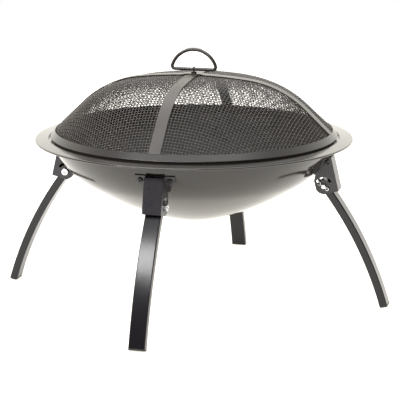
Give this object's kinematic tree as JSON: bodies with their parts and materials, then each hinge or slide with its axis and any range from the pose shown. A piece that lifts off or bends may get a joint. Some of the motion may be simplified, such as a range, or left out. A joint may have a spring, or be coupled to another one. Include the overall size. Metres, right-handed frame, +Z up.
{
  "type": "folding fire pit",
  "caption": "Portable round fire bowl with a lift-off domed wire mesh spark screen, a swinging lid handle and curved tube legs that fold in under the bowl.",
  "frame": {"origin": "on the floor, under the centre of the bowl", "axes": "+Z up along the bowl's axis, +X through the right-hand leg and along the upper strap, -Y through the front leg and along the lower strap"},
  "size_m": [0.7052, 0.7052, 0.4424],
  "materials": {
    "bowl_steel": "satin black heat-resistant enamel on pressed sheet steel",
    "lid_steel": "satin black heat-resistant enamel on rolled and pressed steel",
    "mesh_wire": "plain woven steel wire, dipped in satin black enamel",
    "handle_rod": "semi-gloss brown-black enamel on round rod",
    "leg_enamel": "gloss black enamel, stoved",
    "zinc_hardware": "bright zinc plate",
    "black_screw": "black oxide with a semi-gloss film",
    "foot_plastic": "moulded black polyethylene"
  },
  "bodies": {
    "bowl": {"bowl": "bowl_steel", "bracket_right": "leg_enamel", "bracket_screws_right": "black_screw", "bracket_nuts_right": "black_screw", "clevis_pin_right": "zinc_hardware", "split_pin_right": "zinc_hardware", "bracket_back": "leg_enamel", "bracket_screws_back": "black_screw", "bracket_nuts_back": "black_screw", "clevis_pin_back": "zinc_hardware", "split_pin_back": "zinc_hardware", "bracket_left": "leg_enamel", "bracket_screws_left": "black_screw", "bracket_nuts_left": "black_screw", "clevis_pin_left": "zinc_hardware", "split_pin_left": "zinc_hardware", "bracket_front": "leg_enamel", "bracket_screws_front": "black_screw", "bracket_nuts_front": "black_screw", "clevis_pin_front": "zinc_hardware", "split_pin_front": "zinc_hardware"},
    "lid": {"lid_ring": "lid_steel", "mesh_dome": "mesh_wire", "strap_lower": "lid_steel", "strap_upper": "lid_steel", "handle_eye": "zinc_hardware", "handle_nut": "zinc_hardware"},
    "handle": {"handle_ring": "handle_rod"},
    "leg_right": {"leg_tube_right": "leg_enamel", "foot_plug_right": "foot_plastic"},
    "leg_back": {"leg_tube_back": "leg_enamel", "foot_plug_back": "foot_plastic"},
    "leg_left": {"leg_tube_left": "leg_enamel", "foot_plug_left": "foot_plastic"},
    "leg_front": {"leg_tube_front": "leg_enamel", "foot_plug_front": "foot_plastic"}
  },
  "joints": [
    {"name": "lid_lift", "type": "slide", "parent": "bowl", "child": "lid", "axis": [0, 0, 1], "range_m": [0, 0.3]},
    {"name": "handle_swing", "type": "hinge", "parent": "lid", "child": "handle", "pos_m": [0, 0, 0.405], "axis": [1, 0, 0], "range_deg": [-95, 95]},
    {"name": "leg_fold_right", "type": "hinge", "parent": "bowl", "child": "leg_right", "pos_m": [0.237, 0, 0.212], "axis": [0, 1, 0], "range_deg": [0, 95]},
    {"name": "leg_fold_back", "type": "hinge", "parent": "bowl", "child": "leg_back", "pos_m": [0, 0.237, 0.212], "axis": [-1, 0, 0], "range_deg": [0, 95]},
    {"name": "leg_fold_left", "type": "hinge", "parent": "bowl", "child": "leg_left", "pos_m": [-0.237, 0, 0.212], "axis": [0, -1, 0], "range_deg": [0, 95]},
    {"name": "leg_fold_front", "type": "hinge", "parent": "bowl", "child": "leg_front", "pos_m": [0, -0.237, 0.212], "axis": [1, 0, 0], "range_deg": [0, 95]}
  ]
}
